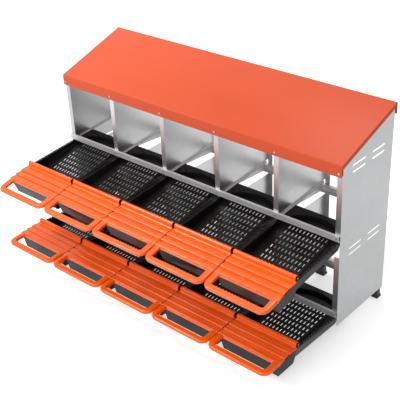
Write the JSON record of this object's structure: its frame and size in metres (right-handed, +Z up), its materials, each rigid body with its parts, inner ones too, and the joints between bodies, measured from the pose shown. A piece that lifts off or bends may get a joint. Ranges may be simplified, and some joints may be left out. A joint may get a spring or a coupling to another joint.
{
  "type": "roll-out nest box",
  "caption": "Two-row roll-out nest box: sheet-metal cabinet with a sloped roof, draw-out egg trays with perforated floors, and hinged ribbed lids with handle loops.",
  "frame": {"origin": "on the floor, under the middle of the bounding box with the trays drawn out", "axes": "+X along the row of nests, -Y to the front where the trays come out, +Z up"},
  "size_m": [1.5334, 0.8408, 0.912],
  "materials": {
    "roof_paint": "smooth orange-red powder coat",
    "galvanised_sheet": "bright galvanised sheet",
    "galvanised_rail": "bright galvanised section",
    "foot_plastic": "black moulded plastic",
    "fastener_steel": "zinc-plated steel",
    "tray_plastic": "black moulded plastic, satin",
    "floor_plastic": "black moulded plastic, satin",
    "lid_plastic": "orange moulded plastic, satin"
  },
  "bodies": {
    "cabinet": {"roof": "roof_paint", "left_panel": "galvanised_sheet", "right_panel": "galvanised_sheet", "upper_divider_1": "galvanised_sheet", "upper_divider_2": "galvanised_sheet", "upper_divider_3": "galvanised_sheet", "upper_divider_4": "galvanised_sheet", "lower_divider_1": "galvanised_sheet", "lower_divider_2": "galvanised_sheet", "lower_divider_3": "galvanised_sheet", "lower_divider_4": "galvanised_sheet", "upper_front_rail": "galvanised_rail", "lower_front_rail": "galvanised_rail", "upper_rear_rail": "galvanised_rail", "lower_rear_rail": "galvanised_rail", "tray_runners": "galvanised_rail", "front_feet": "foot_plastic", "rear_feet": "foot_plastic", "cabinet_screws": "fastener_steel", "runner_rivets": "fastener_steel"},
    "upper_tray_body_1": {"upper_tray_1": "tray_plastic", "upper_floor_1": "floor_plastic", "upper_lid_pin_1": "fastener_steel"},
    "upper_lid_body_1": {"upper_lid_1": "lid_plastic"},
    "upper_tray_body_2": {"upper_tray_2": "tray_plastic", "upper_floor_2": "floor_plastic", "upper_lid_pin_2": "fastener_steel"},
    "upper_lid_body_2": {"upper_lid_2": "lid_plastic"},
    "upper_tray_body_3": {"upper_tray_3": "tray_plastic", "upper_floor_3": "floor_plastic", "upper_lid_pin_3": "fastener_steel"},
    "upper_lid_body_3": {"upper_lid_3": "lid_plastic"},
    "upper_tray_body_4": {"upper_tray_4": "tray_plastic", "upper_floor_4": "floor_plastic", "upper_lid_pin_4": "fastener_steel"},
    "upper_lid_body_4": {"upper_lid_4": "lid_plastic"},
    "upper_tray_body_5": {"upper_tray_5": "tray_plastic", "upper_floor_5": "floor_plastic", "upper_lid_pin_5": "fastener_steel"},
    "upper_lid_body_5": {"upper_lid_5": "lid_plastic"},
    "lower_tray_body_1": {"lower_tray_1": "tray_plastic", "lower_floor_1": "floor_plastic", "lower_lid_pin_1": "fastener_steel"},
    "lower_lid_body_1": {"lower_lid_1": "lid_plastic"},
    "lower_tray_body_2": {"lower_tray_2": "tray_plastic", "lower_floor_2": "floor_plastic", "lower_lid_pin_2": "fastener_steel"},
    "lower_lid_body_2": {"lower_lid_2": "lid_plastic"},
    "lower_tray_body_3": {"lower_tray_3": "tray_plastic", "lower_floor_3": "floor_plastic", "lower_lid_pin_3": "fastener_steel"},
    "lower_lid_body_3": {"lower_lid_3": "lid_plastic"},
    "lower_tray_body_4": {"lower_tray_4": "tray_plastic", "lower_floor_4": "floor_plastic", "lower_lid_pin_4": "fastener_steel"},
    "lower_lid_body_4": {"lower_lid_4": "lid_plastic"},
    "lower_tray_body_5": {"lower_tray_5": "tray_plastic", "lower_floor_5": "floor_plastic", "lower_lid_pin_5": "fastener_steel"},
    "lower_lid_body_5": {"lower_lid_5": "lid_plastic"}
  },
  "joints": [
    {"name": "upper_tray_slide_1", "type": "slide", "parent": "cabinet", "child": "upper_tray_body_1", "axis": [0, 0.9969, 0.0785], "range_m": [0, 0.205]},
    {"name": "upper_lid_hinge_1", "type": "hinge", "parent": "upper_tray_body_1", "child": "upper_lid_body_1", "pos_m": [-0.612, -0.22073, 0.44196], "axis": [-1, 0, 0], "range_deg": [0, 100]},
    {"name": "upper_tray_slide_2", "type": "slide", "parent": "cabinet", "child": "upper_tray_body_2", "axis": [0, 0.9969, 0.0785], "range_m": [0, 0.205]},
    {"name": "upper_lid_hinge_2", "type": "hinge", "parent": "upper_tray_body_2", "child": "upper_lid_body_2", "pos_m": [-0.306, -0.22073, 0.44196], "axis": [-1, 0, 0], "range_deg": [0, 100]},
    {"name": "upper_tray_slide_3", "type": "slide", "parent": "cabinet", "child": "upper_tray_body_3", "axis": [0, 0.9969, 0.0785], "range_m": [0, 0.205]},
    {"name": "upper_lid_hinge_3", "type": "hinge", "parent": "upper_tray_body_3", "child": "upper_lid_body_3", "pos_m": [0, -0.22073, 0.44196], "axis": [-1, 0, 0], "range_deg": [0, 100]},
    {"name": "upper_tray_slide_4", "type": "slide", "parent": "cabinet", "child": "upper_tray_body_4", "axis": [0, 0.9969, 0.0785], "range_m": [0, 0.205]},
    {"name": "upper_lid_hinge_4", "type": "hinge", "parent": "upper_tray_body_4", "child": "upper_lid_body_4", "pos_m": [0.306, -0.22073, 0.44196], "axis": [-1, 0, 0], "range_deg": [0, 100]},
    {"name": "upper_tray_slide_5", "type": "slide", "parent": "cabinet", "child": "upper_tray_body_5", "axis": [0, 0.9969, 0.0785], "range_m": [0, 0.205]},
    {"name": "upper_lid_hinge_5", "type": "hinge", "parent": "upper_tray_body_5", "child": "upper_lid_body_5", "pos_m": [0.612, -0.22073, 0.44196], "axis": [-1, 0, 0], "range_deg": [0, 100]},
    {"name": "lower_tray_slide_1", "type": "slide", "parent": "cabinet", "child": "lower_tray_body_1", "axis": [0, 0.9976, -0.0698], "range_m": [0, 0.195]},
    {"name": "lower_lid_hinge_1", "type": "hinge", "parent": "lower_tray_body_1", "child": "lower_lid_body_1", "pos_m": [-0.612, -0.20915, 0.12389], "axis": [-1, 0, 0], "range_deg": [0, 100]},
    {"name": "lower_tray_slide_2", "type": "slide", "parent": "cabinet", "child": "lower_tray_body_2", "axis": [0, 0.9976, -0.0698], "range_m": [0, 0.195]},
    {"name": "lower_lid_hinge_2", "type": "hinge", "parent": "lower_tray_body_2", "child": "lower_lid_body_2", "pos_m": [-0.306, -0.20915, 0.12389], "axis": [-1, 0, 0], "range_deg": [0, 100]},
    {"name": "lower_tray_slide_3", "type": "slide", "parent": "cabinet", "child": "lower_tray_body_3", "axis": [0, 0.9976, -0.0698], "range_m": [0, 0.195]},
    {"name": "lower_lid_hinge_3", "type": "hinge", "parent": "lower_tray_body_3", "child": "lower_lid_body_3", "pos_m": [0, -0.20915, 0.12389], "axis": [-1, 0, 0], "range_deg": [0, 100]},
    {"name": "lower_tray_slide_4", "type": "slide", "parent": "cabinet", "child": "lower_tray_body_4", "axis": [0, 0.9976, -0.0698], "range_m": [0, 0.195]},
    {"name": "lower_lid_hinge_4", "type": "hinge", "parent": "lower_tray_body_4", "child": "lower_lid_body_4", "pos_m": [0.306, -0.20915, 0.12389], "axis": [-1, 0, 0], "range_deg": [0, 100]},
    {"name": "lower_tray_slide_5", "type": "slide", "parent": "cabinet", "child": "lower_tray_body_5", "axis": [0, 0.9976, -0.0698], "range_m": [0, 0.195]},
    {"name": "lower_lid_hinge_5", "type": "hinge", "parent": "lower_tray_body_5", "child": "lower_lid_body_5", "pos_m": [0.612, -0.20915, 0.12389], "axis": [-1, 0, 0], "range_deg": [0, 100]}
  ]
}
